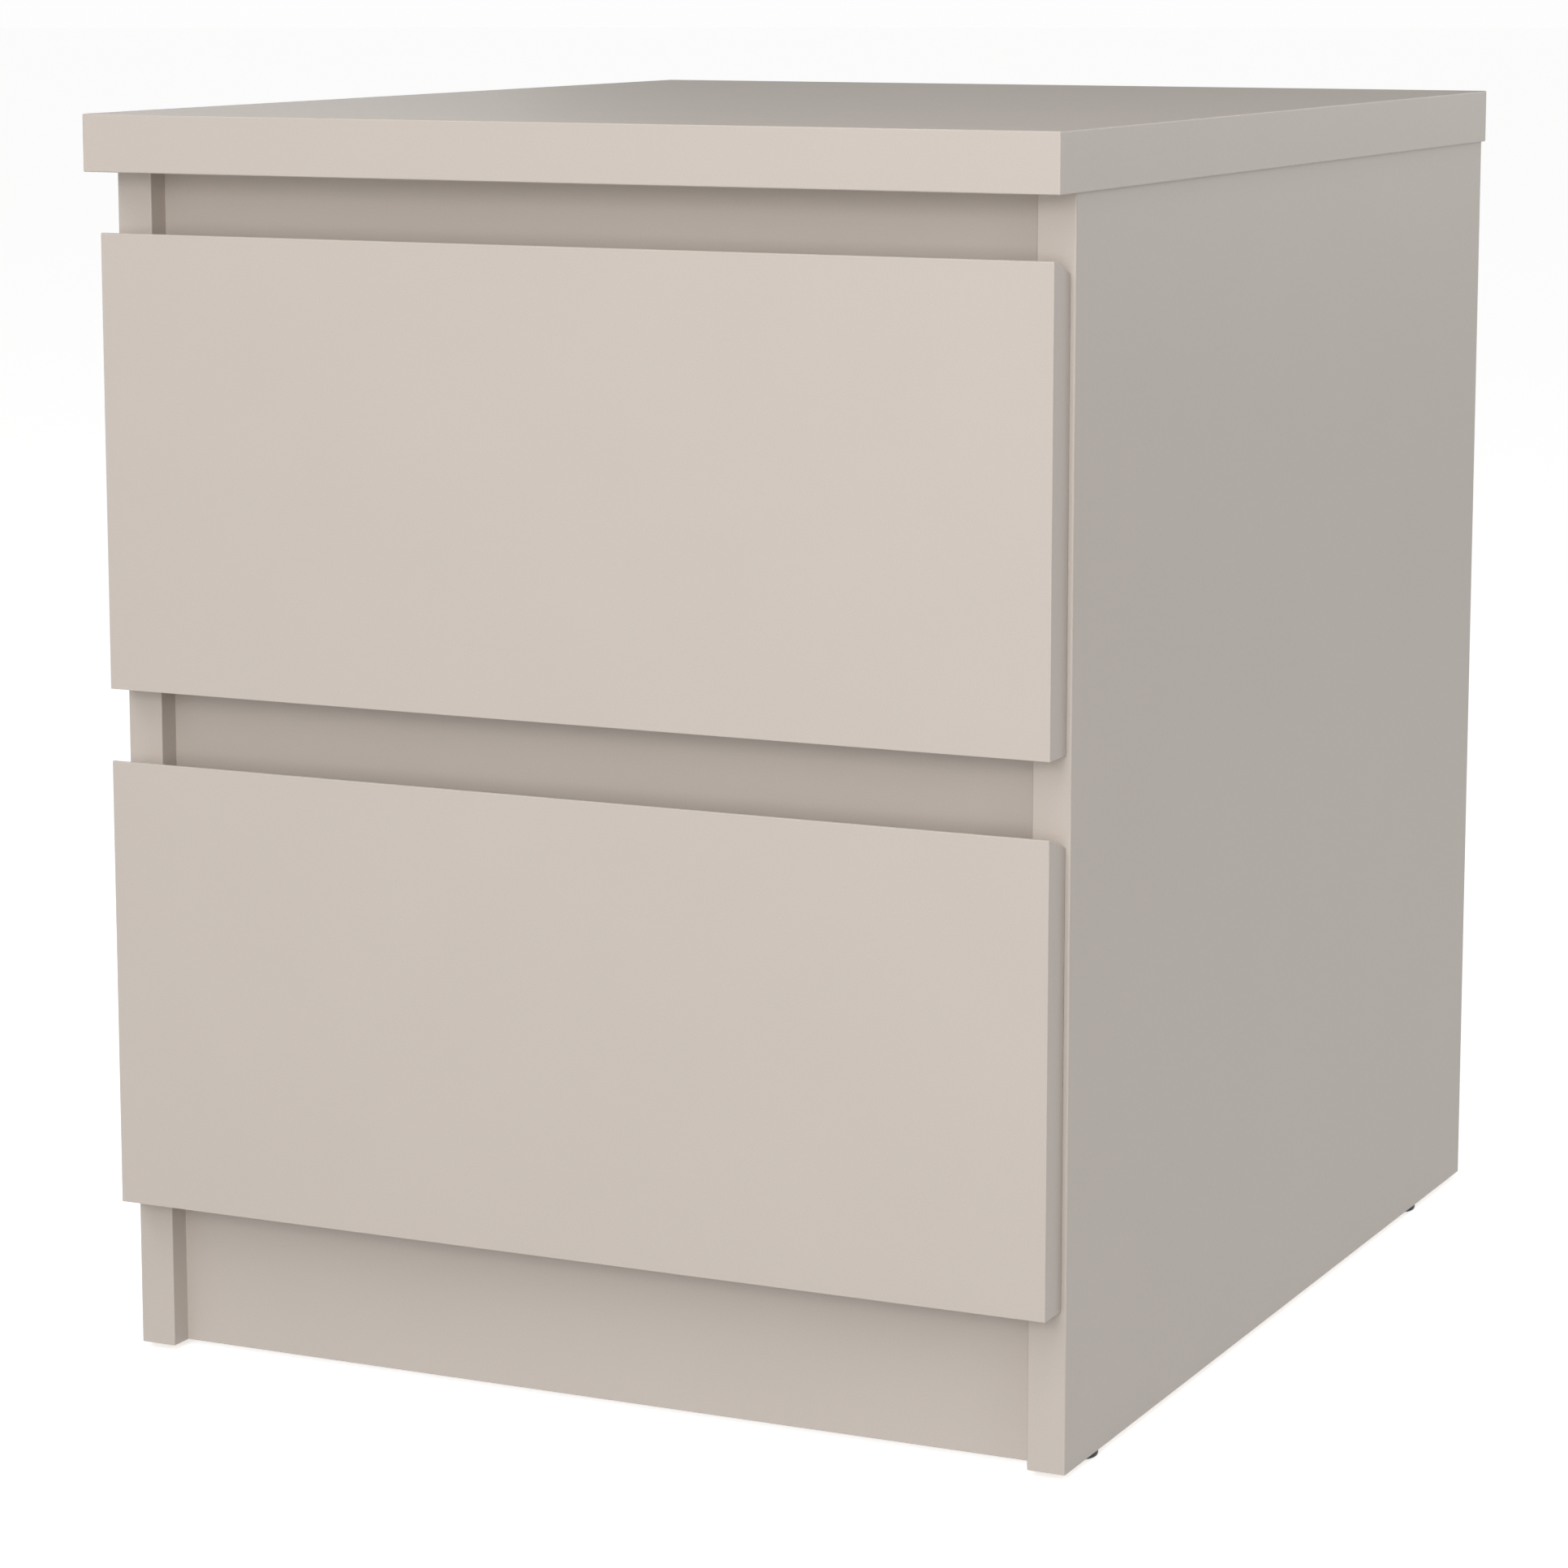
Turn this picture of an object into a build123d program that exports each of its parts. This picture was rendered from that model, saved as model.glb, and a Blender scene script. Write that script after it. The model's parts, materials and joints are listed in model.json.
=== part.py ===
"""Nightstand with two handle-less drawers on steel roller runners.

Millimetres. +Z up, the drawers open towards -Y, +X is the right-hand side seen from the front.
The origin is on the floor, under the middle of the overall box.
"""
import os
from math import sqrt

from build123d import *

os.makedirs("parts", exist_ok=True)

# ------------------------------------------------------------------ overall sizes
width = 400                 # over the top panel
depth = 500                 # top panel, front edge to rear edge
height = 490                # floor to the top face

# ------------------------------------------------------------------ boards
board = 15                  # side panels, drawer fronts, rails and plinth
top_thickness = 22
drawer_board = 12           # drawer sides and backs
hardboard = 3               # back panel and drawer bottoms
edge_radius = 0.6           # rounding of the edging where a board's edge shows

# ------------------------------------------------------------------ gaps and overhangs
side_overhang = 2           # top panel past each side panel
front_overhang = 5          # top panel past the drawer fronts
front_inset = 2             # drawer front short of the side panel's outer face, each side
shadow_gap = 0.5            # drawer front to the side panels' front edges
top_gap = 23                # finger gap over the upper drawer front
middle_gap = 28             # finger gap between the drawer fronts
lower_gap = 61.5            # under the lower drawer front, down to the side panels' lower ends
rail_setback = 10           # rails and plinth behind the side panels' front edges
bevel_drop = 5.2            # fall of a drawer front's top edge, from its front to its back
groove_play = 0.2           # hardboard in its groove, each face
groove_floor = 0.5          # hardboard short of its groove's floor

# ------------------------------------------------------------------ rails and back
upper_rail_height = 35
middle_rail_height = 50
plinth_height = 70
rear_rail_height = 60
back_recess = 9.8           # back panel's rear face ahead of the rear edges
back_groove = 7             # groove depth in the side panels
top_groove = 6              # groove depth in the top panel
nail_count = 4
nail_length = 14
nail_radius = 0.8
nail_head_radius = 2.2
nail_head = 0.8

# ------------------------------------------------------------------ glides
glide_radius = 7.5
glide_projection = 2.5
glide_edge = 1.4            # rounding of a glide's lower edge
glide_spike_radius = 1.0
glide_spike = 14
front_glide_inset = 32      # glide centre behind the side panel's front edge
rear_glide_inset = 65       # glide centre ahead of the side panel's rear edge

# ------------------------------------------------------------------ drawer boxes
box_top_drop = 24           # drawer side's top edge under the front's top edge
box_rear_space = 36.8       # drawer back to the back panel
bottom_rise = 10            # drawer bottom's groove above the drawer side's lower edge
bottom_groove = 5           # groove depth in the drawer's sides and back
front_groove = 6            # groove depth in the drawer front

# ------------------------------------------------------------------ runners
runner_space = 12.5         # drawer side to side panel
runner_clearance = 2.5      # cabinet runner over the rail or plinth under it
steel = 1.2
roller_radius = 11
roller_width = 7
roller_gap = 0.2            # roller to the track that it runs on
roller_side_gap = 0.7       # roller to the web that carries it
track_play = 0.6            # roller to the flange over it
flange_gap = 0.6            # drawer runner's flange over the cabinet runner
flange_side_gap = 1.8       # cabinet runner's flanges to the drawer runner's web
flange_edge_gap = 3.2       # drawer runner's flange to the side panel
web_edge = 4.6              # drawer runner's web under its roller's centre
inner_flange = 11           # drawer runner's flange under the drawer side
runner_rear_space = 29      # drawer runner's rear end ahead of the drawer's rear end
runner_front_gap = 1        # drawer runner's front end behind the drawer front
roller_end = 12.5           # roller centre to its runner's end
extension_loss = 100        # drawer runner's length that stays in the cabinet
stop_rib = 2.5              # height of the ribs that stop the drawer's rollers
stop_gap = 0.3
flange_lead = 6             # channel's upper flange ahead of the opened drawer's roller
bend_radius = 0.9           # on the bent strip's centre line
box_arris = 0.5             # drawer side's lower edges, clear of the runner's bend

pin_radius = 3
pin_play = 0.05
pin_head_radius = 4.5
pin_head = 1.0
roller_recess_radius = 5.5
roller_recess = 1.3
roller_edge = 0.6

# ------------------------------------------------------------------ fixings
fixing_play = 0.05          # fixing in its hole, all round

cam_reach = 24              # joint face to the cam's centre
cam_radius = 7.5
cam_under = 4.5             # cam past its bolt's axis
bolt_thread_radius = 2.5
bolt_thread = 11
bolt_shank_radius = 3.5
bolt_head_radius = 3.0
bolt_neck_radius = 1.9
bolt_head = 3
bolt_shoulder_gap = 0.5     # bolt's shank short of the cam

drawer_cam_radius = 6
drawer_cam_under = 3.5
drawer_bolt_thread_radius = 2.5
drawer_bolt_shank_radius = 2.8
drawer_bolt_head_radius = 2.4
drawer_bolt_neck_radius = 1.5

cam_play = 0.3              # bolt's head and neck in the cam's slot
recess_length = 6.5         # cross recess in a cam's face
recess_width = 1.6
recess_depth = 1.8

dowel_radius = 4
drawer_dowel_radius = 3
dowel_long = 20             # dowel in a board's end
dowel_short = 10            # dowel in a board's face
dowel_hole = 0.5            # hole past each end of a dowel
dowel_cover = 3             # drawer board left over a dowel's end
dowel_chamfer = 0.6

top_cam_end = 80            # top's cams from the side panel's front and rear edges
top_dowel_end = 44          # top's dowels from the same edges
narrow_pair = 16            # cam bolt to dowel in the front rails
wide_pair = 32              # cam bolt to dowel in the plinth and rear rail

front_cam_low = 34          # drawer front's cams over the drawer side's lower edge
front_cam_high = 22         # and under its upper edge
back_screw_edge = 30        # drawer back's screws from the same edges

euro_screw_radius = 3.0
euro_screw_length = 11
euro_head_radius = 4.0
euro_head = 1.5
euro_screw_end = 58         # outer screws from the cabinet runner's ends
wood_screw_radius = 1.75
wood_screw_length = 9
wood_head_radius = 3.2
wood_head = 1.4
wood_screw_end = 14         # outer screws from the drawer runner's ends
back_screw_radius = 1.75
back_screw_length = 38
back_screw_head_radius = 3.5
drive_recess = 0.8          # depth of the cross recess in a screw's head
drive_width = 0.8
drive_length = 3.2

# ------------------------------------------------------------------ places worked out from the sizes
top_under = height - top_thickness
side_half = width / 2 - side_overhang
inner_half = side_half - board
side_middle = side_half - board / 2
rear = depth / 2
top_front = -depth / 2
front_face = top_front + front_overhang
front_back = front_face + board
side_front = front_back + shadow_gap
rail_face = side_front + rail_setback
rail_back = rail_face + board
rail_middle = rail_face + board / 2
side_low = glide_projection

front_height = (top_under - side_low - top_gap - middle_gap - lower_gap) / 2
lower_front_low = side_low + lower_gap
upper_front_low = lower_front_low + front_height + middle_gap
front_half = side_half - front_inset

back_groove_width = hardboard + 2 * groove_play
back_front = rear - back_recess - groove_play - hardboard - groove_play
rear_rail_middle = back_front - board / 2

upper_rail_low = top_under - upper_rail_height
middle_rail_middle = upper_front_low - middle_gap / 2
middle_rail_low = middle_rail_middle - middle_rail_height / 2
middle_rail_top = middle_rail_low + middle_rail_height

# heights over the drawer box's lower edge
web_low = -steel
drawer_roller_rise = web_low + web_edge
track_rise = drawer_roller_rise - roller_radius - roller_gap
channel_low = track_rise - steel
channel_top = drawer_roller_rise + roller_radius + track_play + steel
flange_rise = channel_top + flange_gap
cabinet_roller_rise = flange_rise - roller_gap - roller_radius

upper_box_low = middle_rail_top + runner_clearance - channel_low
box_lift = upper_box_low - upper_front_low
lower_box_low = lower_front_low + box_lift
box_height = front_height - box_lift - box_top_drop

box_half = inner_half - runner_space
box_inner = box_half - drawer_board
box_middle = box_half - drawer_board / 2
box_rear = back_front - box_rear_space
box_back_front = box_rear - drawer_board
box_back_middle = box_rear - drawer_board / 2

channel_edge = box_half + steel + flange_side_gap
flange_edge = inner_half - flange_edge_gap
drawer_runner_front = front_back + runner_front_gap
drawer_runner_rear = box_rear - runner_rear_space
runner_length = drawer_runner_rear - drawer_runner_front
cabinet_runner_front = rail_face
cabinet_runner_rear = cabinet_runner_front + runner_length
cabinet_roller_y = cabinet_runner_front + roller_end
drawer_roller_y = drawer_runner_rear - roller_end
travel = runner_length - extension_loss
opened_roller_y = drawer_roller_y - travel
rib_reach = sqrt((roller_radius + stop_rib) ** 2 - (roller_radius + roller_gap) ** 2)

drawer_dowel_short = drawer_board - dowel_cover

sides = {"left": -1, "right": 1}
drawers = {"upper": (upper_front_low, upper_box_low), "lower": (lower_front_low, lower_box_low)}


def save(piece, name):
    """Labels a finished piece and writes its file."""
    piece.part.label = name
    export_step(piece.part, f"parts/{name}.step")


def block(x, y, z, mode=Mode.ADD):
    """A box between two X, two Y and two Z values, in the part being built."""
    with Locations(((x[0] + x[1]) / 2, (y[0] + y[1]) / 2, (z[0] + z[1]) / 2)):
        Box(abs(x[1] - x[0]), y[1] - y[0], z[1] - z[0], mode=mode)


def rod(radius, low, high, mode=Mode.ADD):
    """A cylinder along the workplane's Z, between two heights."""
    with Locations((0, 0, low)):
        Cylinder(radius, high - low, align=(Align.CENTER, Align.CENTER, Align.MIN), mode=mode)


def along(origin, z_dir, x_dir=None):
    """A fixing's own frame: Z is its axis, X faces the side that its cam goes in from."""
    return Plane(origin=origin, z_dir=z_dir, x_dir=x_dir)


# ------------------------------------------------------------------ where the carcass's fixings stand
# A cam fixing's frame is on the joint's face. Z points from the board that holds the bolt's thread
# into the board that holds the cam. A dowel shares that direction.
cam_frames, dowel_frames = [], []
for sign in sides.values():
    for y in (side_front + top_cam_end, rear - top_cam_end):
        cam_frames.append(along((sign * side_middle, y, top_under), (0, 0, -1), (-sign, 0, 0)))
    for y in (side_front + top_dowel_end, rear - top_dowel_end):
        dowel_frames.append(along((sign * side_middle, y, top_under), (0, 0, -1)))

rail_fixings = [
    (rail_middle, upper_rail_low + upper_rail_height / 2, narrow_pair, 1),
    (rail_middle, middle_rail_middle, narrow_pair, 1),
    (rail_middle, side_low + plinth_height / 2, wide_pair, 1),
    (rear_rail_middle, side_low + rear_rail_height / 2, wide_pair, -1),
]
for sign in sides.values():
    for y, z, pair, cam_side in rail_fixings:
        cam_frames.append(along((sign * inner_half, y, z - pair / 2), (-sign, 0, 0), (0, cam_side, 0)))
        dowel_frames.append(along((sign * inner_half, y, z + pair / 2), (-sign, 0, 0)))

euro_frames, cabinet_hubs = [], {}
for drawer, (front_low, box_low) in drawers.items():
    for side, sign in sides.items():
        for y in (cabinet_runner_front + euro_screw_end, (cabinet_runner_front + cabinet_runner_rear) / 2,
                  cabinet_runner_rear - euro_screw_end):
            place = (sign * (inner_half - steel), y, box_low + drawer_roller_rise)
            euro_frames.append(along(place, (sign, 0, 0)))
        cabinet_hubs[drawer, side] = along(
            (sign * inner_half, cabinet_roller_y, box_low + cabinet_roller_rise), (-sign, 0, 0))

glide_places = {}
for side, sign in sides.items():
    glide_places[f"front_{side}_glide"] = (sign * side_middle, side_front + front_glide_inset)
    glide_places[f"rear_{side}_glide"] = (sign * side_middle, rear - rear_glide_inset)

nail_spread = 2 * (inner_half - board)
nail_frames = [
    along((-nail_spread / 2 + i * nail_spread / (nail_count - 1), back_front + groove_play + hardboard,
           side_low + rear_rail_height / 2), (0, -1, 0))
    for i in range(nail_count)
]


# ------------------------------------------------------------------ spaces that the fixings need
def cam_space(cam_r, under, thickness, thread_r, shank_r):
    """Thread hole, shank hole and cam bore, as one solid to cut with."""
    with BuildPart() as space:
        rod(thread_r + fixing_play, -bolt_thread - fixing_play, 0)
        rod(shank_r + fixing_play, 0, cam_reach)
        with Locations((-under, 0, cam_reach)):
            Cylinder(cam_r + fixing_play, under + thickness / 2, rotation=(0, 90, 0),
                     align=(Align.CENTER, Align.CENTER, Align.MIN))
    return space.part


def dowel_space(radius, short):
    """Both halves of a dowel's hole."""
    with BuildPart() as space:
        rod(radius + fixing_play, -short - dowel_hole, dowel_long + dowel_hole)
    return space.part


def screw_space(radius, length):
    """Straight hole for a screw or nail whose head stands on the face at Z 0."""
    with BuildPart() as space:
        rod(radius + fixing_play, 0, length + fixing_play)
    return space.part


def sunk_screw_space(radius, length, head_radius):
    """Hole with a countersink that holds the head flush with the face at Z 0."""
    sink = head_radius - radius
    with BuildPart() as space:
        rod(radius + fixing_play, 0, length + fixing_play)
        Cone(head_radius + fixing_play, radius + fixing_play, sink,
             align=(Align.CENTER, Align.CENTER, Align.MIN))
    return space.part


def cut(frames, tool):
    """Takes one space out of the part being built, in each of the given frames."""
    with Locations(*frames):
        add(tool, mode=Mode.SUBTRACT)


carcass_cam_space = cam_space(cam_radius, cam_under, board, bolt_thread_radius, bolt_shank_radius)
drawer_cam_space = cam_space(drawer_cam_radius, drawer_cam_under, drawer_board,
                             drawer_bolt_thread_radius, drawer_bolt_shank_radius)
carcass_dowel_space = dowel_space(dowel_radius, dowel_short)
drawer_dowel_space = dowel_space(drawer_dowel_radius, drawer_dowel_short)
# a runner's screws pass its web first, which is part of their length
euro_space = screw_space(euro_screw_radius, steel + euro_screw_length)
wood_space = screw_space(wood_screw_radius, steel + wood_screw_length)
nail_space = screw_space(nail_radius, nail_length)
back_screw_space = sunk_screw_space(back_screw_radius, back_screw_length, back_screw_head_radius)


# ------------------------------------------------------------------ carcass boards
with BuildPart() as top_panel:
    block((-width / 2, width / 2), (top_front, rear), (top_under, height))
    outer = top_panel.edges().filter_by(Axis.Z) + top_panel.edges().group_by(Axis.Z)[-1]
    fillet(outer, edge_radius)
    chamfer(top_panel.edges().group_by(Axis.Z)[0], edge_radius / 2)
    block((-inner_half - back_groove, inner_half + back_groove),
          (back_front, back_front + back_groove_width), (top_under, top_under + top_groove),
          mode=Mode.SUBTRACT)
    cut(cam_frames, carcass_cam_space)
    cut(dowel_frames, carcass_dowel_space)
save(top_panel, "top_panel")

for side, sign in sides.items():
    with BuildPart() as side_panel:
        block((sign * inner_half, sign * side_half), (side_front, rear), (side_low, top_under))
        fillet(side_panel.edges().filter_by(Axis.Z).group_by(Axis.Y)[0], edge_radius)
        block((sign * inner_half, sign * (inner_half + back_groove)),
              (back_front, back_front + back_groove_width), (side_low, top_under), mode=Mode.SUBTRACT)
        cut(cam_frames, carcass_cam_space)
        cut(dowel_frames, carcass_dowel_space)
        cut(euro_frames, euro_space)
        for x, y in glide_places.values():
            cut([along((x, y, side_low), (0, 0, 1))], screw_space(glide_spike_radius, glide_spike))
    save(side_panel, f"{side}_side_panel")

rails = {
    "upper_front_rail": (rail_face, rail_back, upper_rail_low, top_under),
    "middle_front_rail": (rail_face, rail_back, middle_rail_low, middle_rail_top),
    "plinth": (rail_face, rail_back, side_low, side_low + plinth_height),
    "rear_rail": (back_front - board, back_front, side_low, side_low + rear_rail_height),
}
for name, (y_front, y_back, z_low, z_high) in rails.items():
    with BuildPart() as rail:
        block((-inner_half, inner_half), (y_front, y_back), (z_low, z_high))
        fillet(rail.edges().filter_by(Axis.X).group_by(Axis.Y)[0], edge_radius / 2)
        cut(cam_frames, carcass_cam_space)
        cut(dowel_frames, carcass_dowel_space)
        cut(nail_frames, nail_space)
    save(rail, name)

back_half = inner_half + back_groove - groove_floor
with BuildPart() as back_panel:
    block((-back_half, back_half), (back_front + groove_play, back_front + groove_play + hardboard),
          (side_low + groove_floor, top_under + top_groove - groove_floor))
    cut(nail_frames, nail_space)
save(back_panel, "back_panel")

# ------------------------------------------------------------------ carcass fixings
with BuildPart(*nail_frames) as nails:
    rod(nail_radius, 0, nail_length)
    rod(nail_head_radius, -nail_head, 0)
save(nails, "back_panel_nails")


def make_bolts(frames, cam_r, thread_r, shank_r, head_r, neck_r):
    """Cam bolts: a thread in one board, a shank, then a neck and head inside the cam."""
    head_low = cam_reach - bolt_head / 2
    with BuildPart(*frames) as bolts:
        rod(thread_r, -bolt_thread, 0)
        rod(shank_r, 0, cam_reach - cam_r - bolt_shoulder_gap)
        rod(neck_r, 0, head_low)
        rod(head_r, head_low, head_low + bolt_head)
    return bolts


def make_cams(frames, cam_r, under, thickness, head_r, neck_r):
    """Round cams, each slotted from its base for a bolt's neck and head, with a cross recess."""
    face = thickness / 2
    head_half = bolt_head / 2 + cam_play
    with BuildPart(*frames) as cams:
        with Locations((-under, 0, cam_reach)):
            Cylinder(cam_r, under + face, rotation=(0, 90, 0),
                     align=(Align.CENTER, Align.CENTER, Align.MIN))
        with Locations((-under, 0, cam_reach)):
            Box(under + head_r + cam_play, 2 * (head_r + cam_play), 2 * head_half,
                align=(Align.MIN, Align.CENTER, Align.CENTER), mode=Mode.SUBTRACT)
            Box(under + neck_r + cam_play, 2 * (neck_r + cam_play), cam_r + cam_play,
                align=(Align.MIN, Align.CENTER, Align.MAX), mode=Mode.SUBTRACT)
        with Locations((face, 0, cam_reach)):
            for long_y, long_z in ((recess_length, recess_width), (recess_width, recess_length)):
                Box(recess_depth, long_y, long_z,
                    align=(Align.MAX, Align.CENTER, Align.CENTER), mode=Mode.SUBTRACT)
    return cams


def make_dowels(frames, radius, short):
    """Round dowels with chamfered ends."""
    with BuildPart(*frames) as dowels:
        rod(radius - dowel_chamfer, -short, dowel_long)
        rod(radius, dowel_chamfer - short, dowel_long - dowel_chamfer)
    return dowels


def drive(head_top):
    """Cuts a screwdriver's cross into heads that end at the given height, towards -Z."""
    for long_x, long_y in ((drive_length, drive_width), (drive_width, drive_length)):
        with Locations((0, 0, head_top)):
            Box(long_x, long_y, drive_recess, mode=Mode.SUBTRACT,
                align=(Align.CENTER, Align.CENTER, Align.MIN))


def make_screws(frames, radius, length, head_radius, head):
    """Screws whose flat heads stand on the face at Z 0."""
    with BuildPart(*frames) as screws:
        rod(radius, 0, length)
        rod(head_radius, -head, 0)
        drive(-head)
    return screws


def make_sunk_screws(frames, radius, length, head_radius):
    """Countersunk screws whose heads end flush with the face at Z 0."""
    with BuildPart(*frames) as screws:
        rod(radius, 0, length)
        Cone(head_radius, radius, head_radius - radius, align=(Align.CENTER, Align.CENTER, Align.MIN))
        drive(0)
    return screws


save(make_bolts(cam_frames, cam_radius, bolt_thread_radius, bolt_shank_radius, bolt_head_radius,
                bolt_neck_radius), "cam_bolts")
save(make_cams(cam_frames, cam_radius, cam_under, board, bolt_head_radius, bolt_neck_radius), "cam_locks")
save(make_dowels(dowel_frames, dowel_radius, dowel_short), "dowels")
save(make_screws(euro_frames, euro_screw_radius, steel + euro_screw_length, euro_head_radius, euro_head),
     "cabinet_runner_screws")

# ------------------------------------------------------------------ glides
for name, (x, y) in glide_places.items():
    with BuildPart(Plane(origin=(x, y, 0))) as glide:
        rod(glide_radius, 0, glide_projection)
        fillet(glide.faces().sort_by(Axis.Z)[0].edges(), glide_edge)
        rod(glide_spike_radius, glide_projection, glide_projection + glide_spike)
    save(glide, name)


# ------------------------------------------------------------------ runners, rollers and pins
def make_roller(hub):
    """A roller on the hub's axis, standing off the web, with a recess for the pin's head."""
    with BuildPart(hub) as roller:
        low = steel + roller_side_gap
        rod(roller_radius, low, low + roller_width)
        fillet(roller.edges().filter_by(GeomType.CIRCLE), roller_edge)
        rod(pin_radius + pin_play, low, low + roller_width, mode=Mode.SUBTRACT)
        rod(roller_recess_radius, low + roller_width - roller_recess, low + roller_width, mode=Mode.SUBTRACT)
    return roller


def make_pins(hubs):
    """Headed pins through the runners' webs, one for each roller."""
    with BuildPart(*hubs) as pins:
        head_low = steel + roller_side_gap + roller_width - roller_recess + pin_play
        rod(pin_radius, 0, head_low)
        rod(pin_head_radius, head_low, head_low + pin_head)
    return pins


def bent_strip(points, y_front, y_back):
    """A bent steel strip: the centre line's X, Z points, with rounded bends, extruded along Y."""
    with BuildSketch(Plane.XZ.offset(-y_back)) as section:
        with BuildLine():
            FilletPolyline(*points, radius=bend_radius)
        trace(line_width=steel)
    return extrude(section.sketch, amount=y_back - y_front)


def make_cabinet_runner(sign, box_low, hub, screws):
    """The cabinet's half: a channel for the drawer's roller, open above its front stretch."""
    web = sign * (inner_half - steel / 2)
    edge = sign * channel_edge
    low = box_low + channel_low + steel / 2
    high = box_low + channel_top - steel / 2
    flange_front = opened_roller_y - flange_lead
    with BuildPart() as runner:
        add(bent_strip([(edge, low), (web, low), (web, high + steel / 2)],
                       cabinet_runner_front, flange_front))
        add(bent_strip([(edge, low), (web, low), (web, high), (edge, high)],
                       flange_front, cabinet_runner_rear))
        for stop_y in (opened_roller_y - rib_reach - stop_gap, drawer_roller_y + rib_reach + stop_gap):
            with BuildSketch(Plane.YZ.offset(min(edge, web))):
                with Locations((stop_y, box_low + track_rise)):
                    Circle(stop_rib)
                    Rectangle(2 * stop_rib, stop_rib + steel / 2, mode=Mode.SUBTRACT,
                              align=(Align.CENTER, Align.MAX))
                    Rectangle(2 * stop_rib, steel / 2, align=(Align.CENTER, Align.MAX))
            extrude(amount=abs(web - edge))
        cut([hub], pin_space)
        cut(screws, euro_space)
    return runner


def make_drawer_runner(sign, box_low, hub, screws):
    """The drawer's half: under the drawer side, up its face and out over the cabinet's roller."""
    web = sign * (box_half + steel / 2)
    low = box_low - steel / 2
    high = box_low + flange_rise + steel / 2
    with BuildPart() as runner:
        add(bent_strip([(sign * (box_half - inner_flange), low), (web, low), (web, high),
                        (sign * flange_edge, high)], drawer_runner_front, drawer_runner_rear))
        cut([hub], pin_space)
        cut(screws, wood_space)
    return runner


with BuildPart() as pin_hole:
    rod(pin_radius + fixing_play, -1, steel + roller_side_gap / 2)
pin_space = pin_hole.part

for (drawer, side), hub in cabinet_hubs.items():
    runner = make_cabinet_runner(sides[side], drawers[drawer][1], hub, euro_frames)
    save(runner, f"{drawer}_{side}_cabinet_runner")
    save(make_roller(hub), f"{drawer}_{side}_cabinet_roller")
save(make_pins(cabinet_hubs.values()), "cabinet_roller_pins")

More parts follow.
